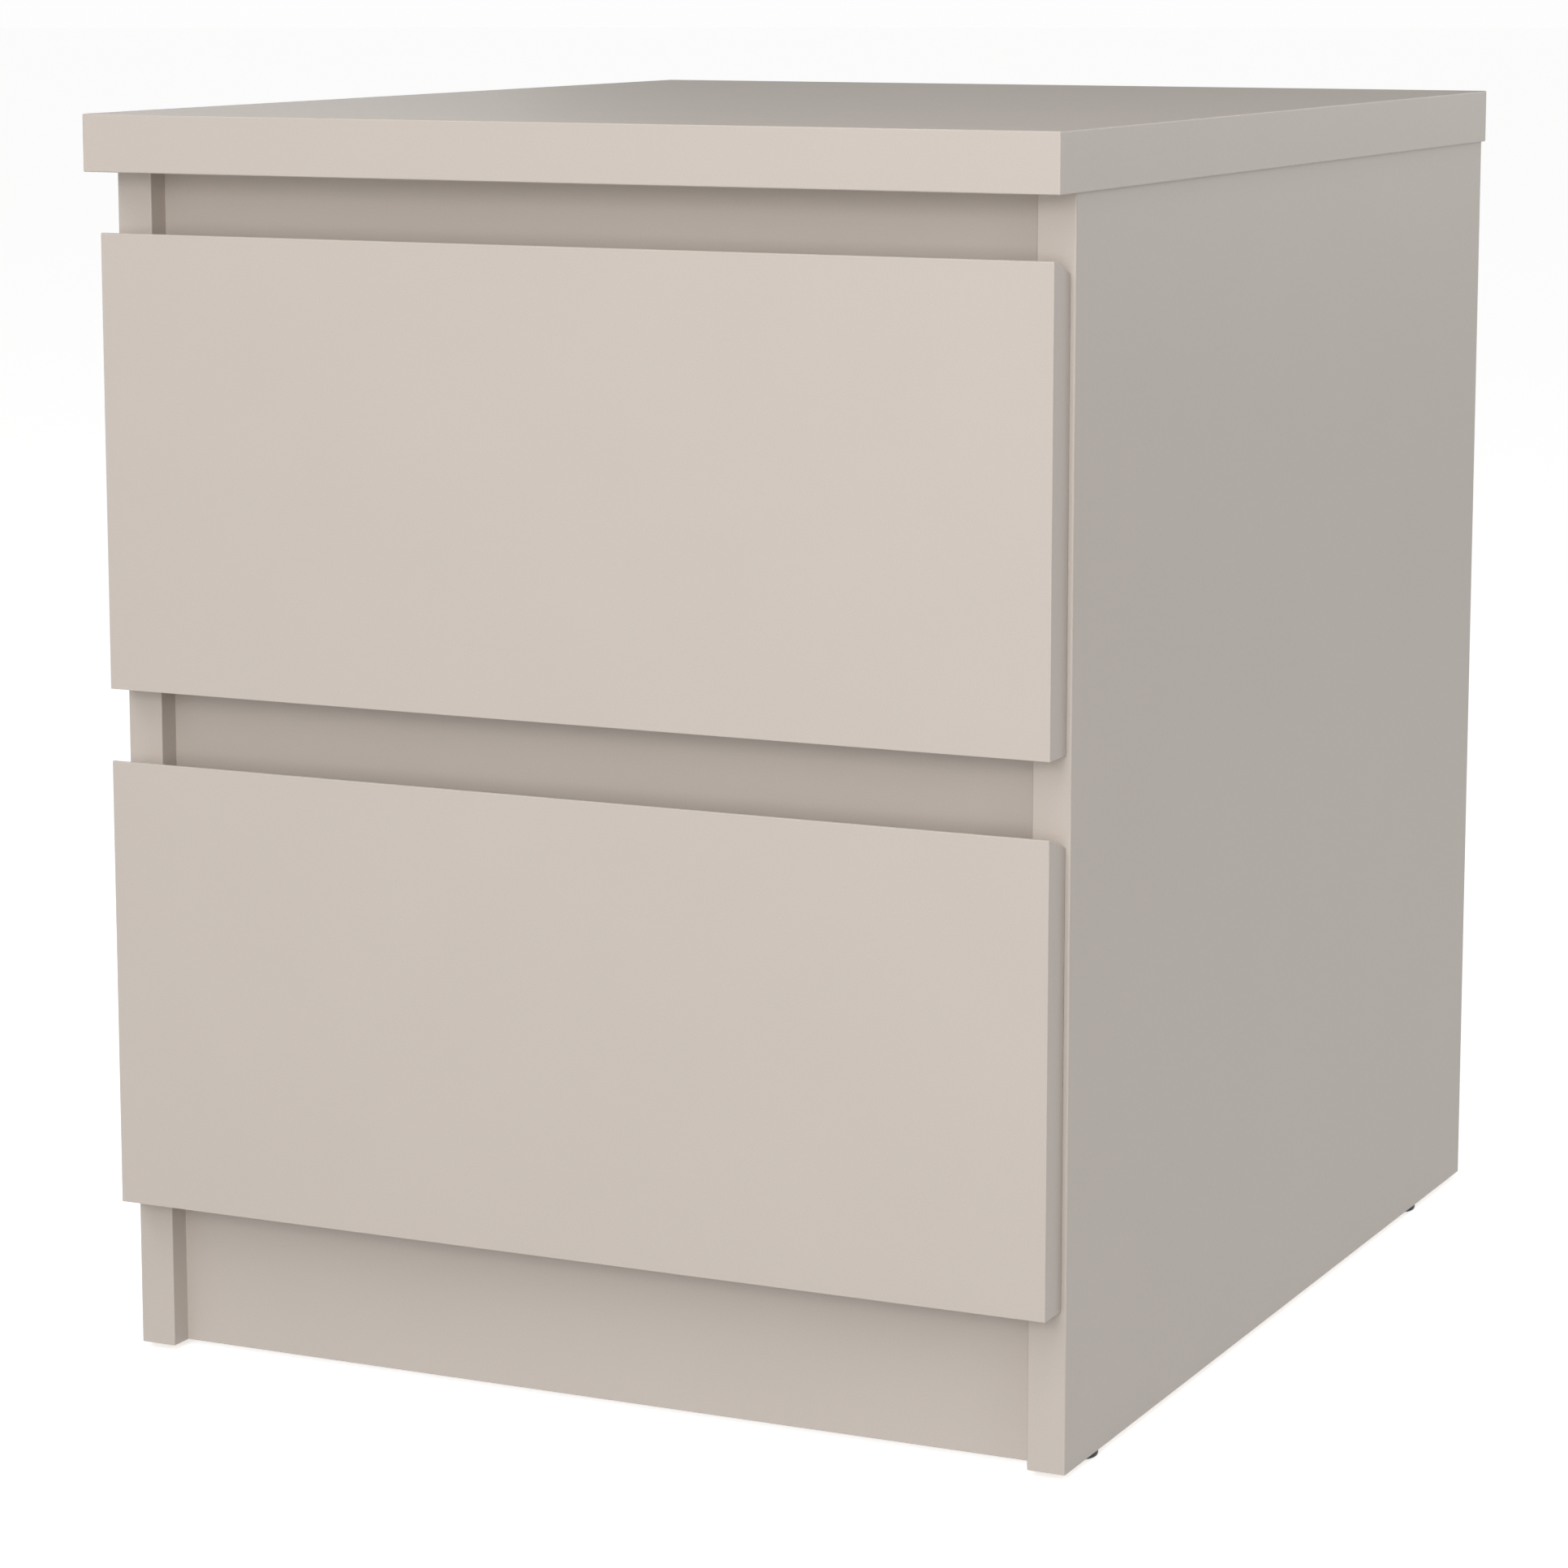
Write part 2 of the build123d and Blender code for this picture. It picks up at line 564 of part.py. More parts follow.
# ------------------------------------------------------------------ drawers
for drawer, (front_low, box_low) in drawers.items():
    box_top = box_low + box_height
    bottom_low = box_low + bottom_rise
    groove_top = bottom_low + hardboard + 2 * groove_play
    name = f"{drawer}_drawer"

    drawer_cams, drawer_dowels, back_screws, runner_screws, hubs = [], [], [], [], {}
    for side, sign in sides.items():
        for z in (box_low + front_cam_low, box_top - front_cam_high):
            drawer_cams.append(along((sign * box_middle, front_back, z), (0, 1, 0), (sign, 0, 0)))
        middle = box_low + box_height / 2
        drawer_dowels.append(along((sign * box_middle, front_back, middle), (0, 1, 0)))
        drawer_dowels.append(along((sign * box_inner, box_back_middle, middle), (-sign, 0, 0)))
        for z in (box_low + back_screw_edge, box_top - back_screw_edge):
            back_screws.append(along((sign * box_half, box_back_middle, z), (-sign, 0, 0)))
        for y in (drawer_runner_front + wood_screw_end, (drawer_runner_front + drawer_runner_rear) / 2,
                  drawer_runner_rear - wood_screw_end):
            place = (sign * (box_half - inner_flange / 2), y, box_low - steel)
            runner_screws.append(along(place, (0, 0, 1)))
        hubs[side] = along((sign * box_half, drawer_roller_y, box_low + drawer_roller_rise), (sign, 0, 0))

    with BuildPart() as front:
        with BuildSketch(Plane.YZ.offset(-front_half)):
            with BuildLine():
                Polyline((front_face, front_low), (front_back, front_low),
                         (front_back, front_low + front_height - bevel_drop),
                         (front_face, front_low + front_height), close=True)
            make_face()
        extrude(amount=2 * front_half)
        face_edges = front.faces().sort_by(Axis.Y)[0].edges()
        upper_edge = face_edges.sort_by(Axis.Z)[-1]
        fillet(upper_edge, edge_radius)
        fillet(front.edges().filter_by(Axis.Z).group_by(Axis.Y)[0], edge_radius / 2)
        block((-box_inner - bottom_groove, box_inner + bottom_groove), (front_back - front_groove, front_back),
              (bottom_low, groove_top), mode=Mode.SUBTRACT)
        cut(drawer_cams, drawer_cam_space)
        cut(drawer_dowels, drawer_dowel_space)
    save(front, f"{name}_front")

    for side, sign in sides.items():
        with BuildPart() as box_side:
            block((sign * box_inner, sign * box_half), (front_back, box_rear), (box_low, box_top))
            lower_edges = box_side.edges().filter_by(Axis.Y).group_by(Axis.Z)[0]
            chamfer(lower_edges, box_arris)
            fillet(box_side.edges().filter_by(Axis.Y).group_by(Axis.Z)[-1], edge_radius)
            block((sign * box_inner, sign * (box_inner + bottom_groove)), (front_back, box_rear),
                  (bottom_low, groove_top), mode=Mode.SUBTRACT)
            cut(drawer_cams, drawer_cam_space)
            cut(drawer_dowels, drawer_dowel_space)
            cut(back_screws, back_screw_space)
            cut(runner_screws, wood_space)
        save(box_side, f"{name}_{side}_side")

    with BuildPart() as box_back:
        block((-box_inner, box_inner), (box_back_front, box_rear), (box_low, box_top))
        fillet(box_back.edges().filter_by(Axis.X).group_by(Axis.Z)[-1], edge_radius)
        block((-box_inner, box_inner), (box_back_front, box_back_front + bottom_groove),
              (bottom_low, groove_top), mode=Mode.SUBTRACT)
        cut(drawer_dowels, drawer_dowel_space)
        cut(back_screws, back_screw_space)
    save(box_back, f"{name}_back")

    bottom_half = box_inner + bottom_groove - groove_floor
    with BuildPart() as bottom:
        block((-bottom_half, bottom_half),
              (front_back - front_groove + groove_floor, box_back_front + bottom_groove - groove_floor),
              (bottom_low + groove_play, bottom_low + groove_play + hardboard))
        # the rear corners clear the drawer back's ends
        notch = bottom_groove - groove_floor
        for sign in sides.values():
            block((sign * box_inner, sign * bottom_half), (box_back_front, box_back_front + notch),
                  (bottom_low, groove_top), mode=Mode.SUBTRACT)
    save(bottom, f"{name}_bottom")

    for side, sign in sides.items():
        runner = make_drawer_runner(sign, box_low, hubs[side], runner_screws)
        save(runner, f"{drawer}_{side}_drawer_runner")
        save(make_roller(hubs[side]), f"{drawer}_{side}_drawer_roller")

    save(make_cams(drawer_cams, drawer_cam_radius, drawer_cam_under, drawer_board,
                   drawer_bolt_head_radius, drawer_bolt_neck_radius), f"{name}_cam_locks")
    save(make_bolts(drawer_cams, drawer_cam_radius, drawer_bolt_thread_radius, drawer_bolt_shank_radius,
                    drawer_bolt_head_radius, drawer_bolt_neck_radius), f"{name}_cam_bolts")
    save(make_dowels(drawer_dowels, drawer_dowel_radius, drawer_dowel_short), f"{name}_dowels")
    save(make_sunk_screws(back_screws, back_screw_radius, back_screw_length, back_screw_head_radius),
         f"{name}_back_screws")
    save(make_screws(runner_screws, wood_screw_radius, steel + wood_screw_length, wood_head_radius,
                     wood_head), f"{drawer}_drawer_runner_screws")
    save(make_pins(hubs.values()), f"{drawer}_drawer_roller_pins")
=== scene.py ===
"""Nightstand with two handle-less drawers: finishes, metal and wooden fixings, studio."""

import json
import math

import bmesh
import bpy
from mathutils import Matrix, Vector


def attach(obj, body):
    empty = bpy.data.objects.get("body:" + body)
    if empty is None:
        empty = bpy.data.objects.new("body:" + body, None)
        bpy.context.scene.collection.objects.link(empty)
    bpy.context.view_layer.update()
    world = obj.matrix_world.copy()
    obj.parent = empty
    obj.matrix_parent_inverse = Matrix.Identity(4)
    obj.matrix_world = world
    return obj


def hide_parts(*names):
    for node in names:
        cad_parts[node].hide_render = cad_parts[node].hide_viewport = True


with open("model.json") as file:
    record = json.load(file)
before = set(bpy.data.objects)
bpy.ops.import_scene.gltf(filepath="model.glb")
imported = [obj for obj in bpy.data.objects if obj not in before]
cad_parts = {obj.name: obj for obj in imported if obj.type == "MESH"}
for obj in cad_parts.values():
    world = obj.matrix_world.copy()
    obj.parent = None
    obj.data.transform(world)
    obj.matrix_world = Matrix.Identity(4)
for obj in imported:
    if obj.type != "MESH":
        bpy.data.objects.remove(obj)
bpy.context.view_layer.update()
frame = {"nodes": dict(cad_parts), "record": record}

MM = 0.001
FACE_ON = 0.7                    # how squarely a face points along an axis to count as facing it
WIRE_PITCH = 2 * MM              # of the screen that hardboard is pressed on
SAME_CORNER = 0.001 * MM         # corners of a CAD solid closer than this are one
WELD = 0.002 * MM                # corners of a turned fixing closer than this become one
CREASE = math.radians(35)        # edges sharper than this stay crisp
SPIN_SEED = 7                    # how far each fixing happens to be screwed round
# how far from the middle of the groove a thread's tooth starts and is full, as parts of the pitch
TOOTH_FOOT, TOOTH_CREST = 0.08, 0.46
# where a thread has reached its full depth and where it starts to fade, as parts of its length
THREAD_FULL, THREAD_FADES = 0.08, 0.86
FLUTE_EDGE = 0.55                # how high the wave round a dowel is where a flute starts


# ------------------------------------------------------------------ camera
camera_data = bpy.data.cameras.new("camera")
camera = bpy.data.objects.new("camera", camera_data)
bpy.context.scene.collection.objects.link(camera)
bpy.context.scene.camera = camera
LOOKS_DOWN, LOOKS_LEFT = 0.15622, 0.43974        # radians from level and from straight ahead
camera.location = (0.81291, -1.77666, 0.55398)
camera.rotation_euler = (math.pi / 2 - LOOKS_DOWN, 0, LOOKS_LEFT)
camera_data.sensor_width = 36
camera_data.lens = 108.87
camera_data.shift_y = -0.06


# ------------------------------------------------------------------ helpers
def colour(code):
    """An sRGB hex colour as linear red, green, blue and alpha."""
    parts = [int(code[i:i + 2], 16) / 255 for i in (1, 3, 5)]
    return tuple(v / 12.92 if v <= 0.04045 else ((v + 0.055) / 1.055) ** 2.4 for v in parts) + (1.0,)


def add(tree, kind, inputs=None, **settings):
    """Adds a node with its settings and links.

    Inputs go by name, or in order as a list. Each takes a value, a socket, or a node, which stands for
    its first output in use. A list of nodes is linked one after another.
    """
    made = tree.nodes.new(kind)
    for name, value in settings.items():
        setattr(made, name, value)
    for key, given in (enumerate(inputs) if isinstance(inputs, list) else (inputs or {}).items()):
        socket = made.inputs[key] if isinstance(key, int) else next(
            one for one in made.inputs if one.name == key and one.enabled)
        for value in given if isinstance(given, list) else [given]:
            if isinstance(value, bpy.types.Node):
                value = next(one for one in value.outputs if one.enabled)
            if isinstance(value, bpy.types.NodeSocket):
                tree.links.new(value, socket)
            else:
                socket.default_value = value
    return made


def new_material(name):
    """An empty material; returns it, its node tree and the place on the object that its patterns read."""
    material = bpy.data.materials.new(name)
    material.use_nodes = True
    tree = material.node_tree
    tree.nodes.clear()
    return material, tree, add(tree, "ShaderNodeTexCoord").outputs["Object"]


def facing(tree, axis, sign):
    """1 on faces whose normal points along one axis, in the given direction, and 0 elsewhere."""
    normal = add(tree, "ShaderNodeTexCoord").outputs["Normal"]
    part = add(tree, "ShaderNodeSeparateXYZ", [normal]).outputs[axis]
    towards = add(tree, "ShaderNodeMath", [part, sign], operation="MULTIPLY")
    return add(tree, "ShaderNodeMath", [towards, FACE_ON], operation="GREATER_THAN")


# ------------------------------------------------------------------ materials
def particle_board(tree, place):
    """Raw particle board: pressed chips 2 to 4 mm long, straw to brown, with dark gaps between them."""
    chips = add(tree, "ShaderNodeTexVoronoi", {"Vector": place, "Scale": 1 / (2.6 * MM)})
    tone = add(tree, "ShaderNodeSeparateColor", {"Color": chips.outputs["Color"]})
    chip = add(tree, "ShaderNodeMix", {"Factor": tone, "A": colour("#b0936a"), "B": colour("#8d6f4a")},
               data_type="RGBA")
    gap = add(tree, "ShaderNodeMapRange", {
        "Value": chips.outputs["Distance"], "From Min": 0.45, "From Max": 0.8, "To Min": 0.0, "To Max": 0.75})
    return add(tree, "ShaderNodeMix", {"Factor": gap, "A": chip, "B": colour("#5d4630")}, data_type="RGBA")


def melamine_foil(name, low, high, roughness, raw_ends=False):
    """Beige foil pressed on particle board, with a satin lacquer.

    The eye gets an even colour that drifts faintly over a few centimetres, pores like very fine dust,
    a lacquer skin with a trace of orange peel, and a soft highlight. Unfinished ends show the chips.
    """
    material, tree, place = new_material(name)
    drift = add(tree, "ShaderNodeTexNoise", {"Vector": place, "Scale": 1 / (60 * MM), "Detail": 3.0})
    tint = add(tree, "ShaderNodeMix", {"Factor": drift, "A": colour(low), "B": colour(high)},
               data_type="RGBA")
    # real pores are 0.2 mm; drawn 0.5 mm wide so that they show at all
    dust = add(tree, "ShaderNodeTexNoise", {"Vector": place, "Scale": 1 / (0.5 * MM)})
    pores = add(tree, "ShaderNodeMapRange", {
        "Value": dust, "From Min": 0.3, "From Max": 0.62, "To Min": 0.965, "To Max": 1.02})
    tint = add(tree, "ShaderNodeMix", {
        "Factor": 1.0, "A": tint, "B": add(tree, "ShaderNodeCombineColor", [pores, pores, pores])},
        data_type="RGBA", blend_type="MULTIPLY")
    if raw_ends:
        tint = add(tree, "ShaderNodeMix", {
            "Factor": facing(tree, 2, -1.0), "A": tint, "B": particle_board(tree, place)}, data_type="RGBA")
    skin = add(tree, "ShaderNodeTexNoise", {"Vector": place, "Scale": 1 / (1.8 * MM)})
    sheen = add(tree, "ShaderNodeMapRange", {
        "Value": skin, "From Min": 0.3, "From Max": 0.7,
        "To Min": roughness - 0.04, "To Max": roughness + 0.04})
    add(tree, "ShaderNodeOutputMaterial", {"Surface": add(tree, "ShaderNodeBsdfPrincipled", {
        "Base Color": tint, "IOR": 1.47, "Roughness": sheen, "Normal": add(tree, "ShaderNodeBump", {
            "Height": skin, "Distance": 0.03 * MM, "Strength": 0.6})})})
    return material


def hardboard(name, raw_axis, raw_sign):
    """Wet-process hardboard: one face painted, the other raw.

    The painted face is matt with a light roller texture. The raw face is brown, with long fibres in it
    and the print of the wire screen that it was pressed on.
    """
    material, tree, place = new_material(name)
    roller = add(tree, "ShaderNodeTexNoise", {"Vector": place, "Scale": 1 / (1.2 * MM), "Detail": 3.0})
    drift = add(tree, "ShaderNodeTexNoise", {"Vector": place, "Scale": 1 / (50 * MM)})
    paint = add(tree, "ShaderNodeMix", {"Factor": drift, "A": colour("#c4bcb2"), "B": colour("#cac2b8")},
                data_type="RGBA")
    fibres = add(tree, "ShaderNodeTexNoise", {
        "Vector": add(tree, "ShaderNodeMapping", {"Vector": place, "Scale": (1.0, 4.0, 1.0)}),
        "Scale": 1 / (7 * MM), "Detail": 8.0, "Roughness": 0.7})
    strand = add(tree, "ShaderNodeMapRange", {"Value": fibres, "From Min": 0.3, "From Max": 0.7})
    raw = add(tree, "ShaderNodeMix", {"Factor": strand, "A": colour("#8a684a"), "B": colour("#6d4e35")},
              data_type="RGBA")
    specks = add(tree, "ShaderNodeTexNoise", {"Vector": place, "Scale": 1 / (1.1 * MM), "Detail": 4.0})
    pale = add(tree, "ShaderNodeMapRange", {
        "Value": specks, "From Min": 0.55, "From Max": 0.75, "To Min": 0.0, "To Max": 0.45})
    raw = add(tree, "ShaderNodeMix", {"Factor": pale, "A": raw, "B": colour("#a3825f")}, data_type="RGBA")
    split = add(tree, "ShaderNodeSeparateXYZ", [place]).outputs
    wires = []
    for axis in range(3):
        if axis != raw_axis:
            turn = add(tree, "ShaderNodeMath", [split[axis], 2 * math.pi / WIRE_PITCH], operation="MULTIPLY")
            wires.append(add(tree, "ShaderNodeMath", [turn], operation="SINE"))
    screen_print = add(tree, "ShaderNodeMath", wires, operation="ADD")
    side = facing(tree, raw_axis, raw_sign)
    on_raw = add(tree, "ShaderNodeMath", [
        add(tree, "ShaderNodeMath", [screen_print, 0.5], operation="MULTIPLY"), side], operation="MULTIPLY")
    height = add(tree, "ShaderNodeMath", [roller, 0.25, on_raw], operation="MULTIPLY_ADD")
    add(tree, "ShaderNodeOutputMaterial", {"Surface": add(tree, "ShaderNodeBsdfPrincipled", {
        "Base Color": add(tree, "ShaderNodeMix", {"Factor": side, "A": paint, "B": raw}, data_type="RGBA"),
        "IOR": 1.45,
        "Roughness": add(tree, "ShaderNodeMapRange", {"Value": side, "To Min": 0.6, "To Max": 0.85}),
        "Normal": add(tree, "ShaderNodeBump", {"Height": height, "Distance": 0.12 * MM, "Strength": 0.8})})})
    return material


def powder_coat():
    """Epoxy powder baked on bent steel: pale grey-beige, even, with a fine orange peel."""
    material, tree, place = new_material("powder_coated_steel")
    drift = add(tree, "ShaderNodeTexNoise", {"Vector": place, "Scale": 1 / (20 * MM)})
    peel = add(tree, "ShaderNodeTexNoise", {"Vector": place, "Scale": 1 / (0.9 * MM)})
    add(tree, "ShaderNodeOutputMaterial", {"Surface": add(tree, "ShaderNodeBsdfPrincipled", {
        "Base Color": add(tree, "ShaderNodeMix", {
            "Factor": drift, "A": colour("#d6d2ca"), "B": colour("#dedad2")}, data_type="RGBA"),
        "IOR": 1.5,
        "Roughness": add(tree, "ShaderNodeMapRange", {
            "Value": peel, "From Min": 0.3, "From Max": 0.7, "To Min": 0.34, "To Max": 0.44}),
        "Normal": add(tree, "ShaderNodeBump", {"Height": peel, "Distance": 0.03 * MM, "Strength": 0.7})})})
    return material


def acetal():
    """Moulded acetal, natural white: waxy, faintly cloudy, a little glossier where it has been running."""
    material, tree, place = new_material("moulded_acetal")
    cloud = add(tree, "ShaderNodeTexNoise", {"Vector": place, "Scale": 1 / (4 * MM), "Detail": 3.0})
    grain = add(tree, "ShaderNodeTexNoise", {"Vector": place, "Scale": 1 / (0.4 * MM)})
    add(tree, "ShaderNodeOutputMaterial", {"Surface": add(tree, "ShaderNodeBsdfPrincipled", {
        "Base Color": add(tree, "ShaderNodeMix", {
            "Factor": cloud, "A": colour("#dcdad3"), "B": colour("#e6e4de")}, data_type="RGBA"),
        "IOR": 1.48,
        "Roughness": add(tree, "ShaderNodeMapRange", {
            "Value": cloud, "From Min": 0.3, "From Max": 0.7, "To Min": 0.28, "To Max": 0.4}),
        "Normal": add(tree, "ShaderNodeBump", {"Height": grain, "Distance": 0.01 * MM, "Strength": 0.6})})})
    return material


def die_cast_zinc():
    """Die-cast zinc alloy as it leaves the mould: dull grey, with a grainy skin and darker flow marks."""
    material, tree, place = new_material("die_cast_zinc")
    flow = add(tree, "ShaderNodeTexNoise", {"Vector": place, "Scale": 1 / (2.5 * MM), "Detail": 4.0})
    mark = add(tree, "ShaderNodeMapRange", {"Value": flow, "From Min": 0.35, "From Max": 0.7})
    grain = add(tree, "ShaderNodeTexNoise", {"Vector": place, "Scale": 1 / (0.25 * MM), "Detail": 3.0})
    add(tree, "ShaderNodeOutputMaterial", {"Surface": add(tree, "ShaderNodeBsdfPrincipled", {
        "Metallic": 1.0,
        "Base Color": add(tree, "ShaderNodeMix", {
            "Factor": mark, "A": colour("#a9aaac"), "B": colour("#86888b")}, data_type="RGBA"),
        "Roughness": add(tree, "ShaderNodeMapRange", {
            "Value": grain, "From Min": 0.3, "From Max": 0.7, "To Min": 0.42, "To Max": 0.58}),
        "Normal": add(tree, "ShaderNodeBump", {"Height": grain, "Distance": 0.02 * MM, "Strength": 0.8})})})
    return material


def zinc_plate():
    """Bright zinc plating on cold-headed steel: a cool shine with faint bluish and straw patches."""
    material, tree, place = new_material("bright_zinc_plate")
    patch = add(tree, "ShaderNodeTexNoise", {"Vector": place, "Scale": 1 / (3 * MM)})
    tone = add(tree, "ShaderNodeMapRange", {"Value": patch, "From Min": 0.35, "From Max": 0.65})
    scuff = add(tree, "ShaderNodeTexNoise", {"Vector": place, "Scale": 1 / (0.3 * MM), "Detail": 3.0})
    add(tree, "ShaderNodeOutputMaterial", {"Surface": add(tree, "ShaderNodeBsdfPrincipled", {
        "Metallic": 1.0,
        "Base Color": add(tree, "ShaderNodeMix", {
            "Factor": tone, "A": colour("#bfc6cc"), "B": colour("#cbc8bd")}, data_type="RGBA"),
        "Roughness": add(tree, "ShaderNodeMapRange", {
            "Value": scuff, "From Min": 0.3, "From Max": 0.7, "To Min": 0.2, "To Max": 0.36}),
        "Normal": add(tree, "ShaderNodeBump", {"Height": scuff, "Distance": 0.008 * MM, "Strength": 0.6})})})
    return material


def beech_wood():
    """Turned beech: pinkish straw with fine grain along the dowel and short dark flecks.

    The grain follows each dowel's own length, which the dowel carries as an attribute.
    """
    material, tree, _ = new_material("turned_beech")
    along = add(tree, "ShaderNodeAttribute", attribute_name="along_grain").outputs["Vector"]
    grain = add(tree, "ShaderNodeTexNoise", {
        "Vector": add(tree, "ShaderNodeMapping", {"Vector": along, "Scale": (1.0, 1.0, 0.08)}),
        "Scale": 1 / (0.6 * MM), "Detail": 4.0})
    straw = add(tree, "ShaderNodeMix", {"Factor": grain, "A": colour("#c79f70"), "B": colour("#d8b78c")},
                data_type="RGBA")
    rays = add(tree, "ShaderNodeTexNoise", {
        "Vector": add(tree, "ShaderNodeMapping", {"Vector": along, "Scale": (1.0, 1.0, 0.3)}),
        "Scale": 1 / (0.5 * MM), "Detail": 1.0})
    flecks = add(tree, "ShaderNodeMapRange", {
        "Value": rays, "From Min": 0.62, "From Max": 0.72, "To Min": 0.0, "To Max": 0.6})
    add(tree, "ShaderNodeOutputMaterial", {"Surface": add(tree, "ShaderNodeBsdfPrincipled", {
        "Base Color": add(tree, "ShaderNodeMix", {
            "Factor": flecks, "A": straw, "B": colour("#9a6f48")}, data_type="RGBA"),
        "Roughness": 0.68, "IOR": 1.45,
        "Normal": add(tree, "ShaderNodeBump", {"Height": grain, "Distance": 0.05 * MM, "Strength": 0.7})})})
    return material


def black_polyethylene():
    """Moulded black polyethylene: charcoal, matt, finely spark-eroded, with scuffs from the floor."""
    material, tree, place = new_material("moulded_black_polyethylene")
    grain = add(tree, "ShaderNodeTexNoise", {"Vector": place, "Scale": 1 / (0.35 * MM), "Detail": 3.0})
    wear = add(tree, "ShaderNodeTexNoise", {"Vector": place, "Scale": 1 / (1.5 * MM), "Detail": 5.0})
    scuffs = add(tree, "ShaderNodeMapRange", {
        "Value": wear, "From Min": 0.58, "From Max": 0.75, "To Min": 0.0, "To Max": 0.5})
    add(tree, "ShaderNodeOutputMaterial", {"Surface": add(tree, "ShaderNodeBsdfPrincipled", {
        "Base Color": add(tree, "ShaderNodeMix", {
            "Factor": scuffs, "A": colour("#1c1c1d"), "B": colour("#3a3938")}, data_type="RGBA"),
        "IOR": 1.51,
        "Roughness": add(tree, "ShaderNodeMapRange", {
            "Value": grain, "From Min": 0.3, "From Max": 0.7, "To Min": 0.45, "To Max": 0.6}),
        "Normal": add(tree, "ShaderNodeBump", {"Height": grain, "Distance": 0.03 * MM, "Strength": 0.8})})})
    return material


SATIN, MATT = 0.42, 0.55
BEIGE = ("#c4bab1", "#c7bdb4")
PALE_BEIGE = ("#cdc5bb", "#d2cac0")
board_foil = melamine_foil("satin_beige_foil", *BEIGE, SATIN)
panel_foil = melamine_foil("satin_beige_foil_raw_ends", *BEIGE, SATIN, raw_ends=True)
drawer_foil = melamine_foil("matt_drawer_foil", *PALE_BEIGE, MATT)
finishes = {
    "beige_board": board_foil,
    "drawer_board": drawer_foil,
    "coated_steel": powder_coat(),
    "roller_plastic": acetal(),
    "zinc_casting": die_cast_zinc(),
    "zinc_steel": zinc_plate(),
    "beech": beech_wood(),
    "glide_plastic": black_polyethylene(),
}
own_finishes = {
    "left_side_panel": panel_foil,
    "right_side_panel": panel_foil,
    "back_panel": hardboard("hardboard_raw_behind", 1, 1),
}
drawer_floor = hardboard("hardboard_raw_below", 2, -1)
slot_of = {row["node"]: row["material_slot"] for row in frame["record"]["subparts"]}
body_of = {node: body for body, nodes in frame["record"]["behaviour"]["bodies"].items() for node in nodes}

for name, piece in frame["nodes"].items():
    piece.data.materials.clear()
    own = drawer_floor if name.endswith("_drawer_bottom") else own_finishes.get(name)
    piece.data.materials.append(own or finishes[slot_of[name]])


# ------------------------------------------------------------------ fixings turned, threaded and fluted
def solids_of(node):
    """Each solid of a CAD node: its box, its long axis, and whether its head is at the low end.

    A head is the end with the shorter first step.
    """
    shape = bmesh.new()
    shape.from_mesh(frame["nodes"][node].data)
    bmesh.ops.remove_doubles(shape, verts=shape.verts, dist=SAME_CORNER)
    left, found = set(shape.verts), []
    while left:
        solid, todo = [], [left.pop()]
        while todo:
            vert = todo.pop()
            solid.append(vert.co.copy())
            near = {edge.other_vert(vert) for edge in vert.link_edges} & left
            left -= near
            todo.extend(near)
        low, high = Vector(map(min, *solid)), Vector(map(max, *solid))
        axis = max(range(3), key=lambda i: high[i] - low[i])
        steps = sorted({round(place[axis] / MM, 1) for place in solid})
        found.append((low, high, axis, steps[1] - steps[0] < steps[-1] - steps[-2]))
    shape.free()
    return sorted(found, key=lambda one: tuple(one[0]))


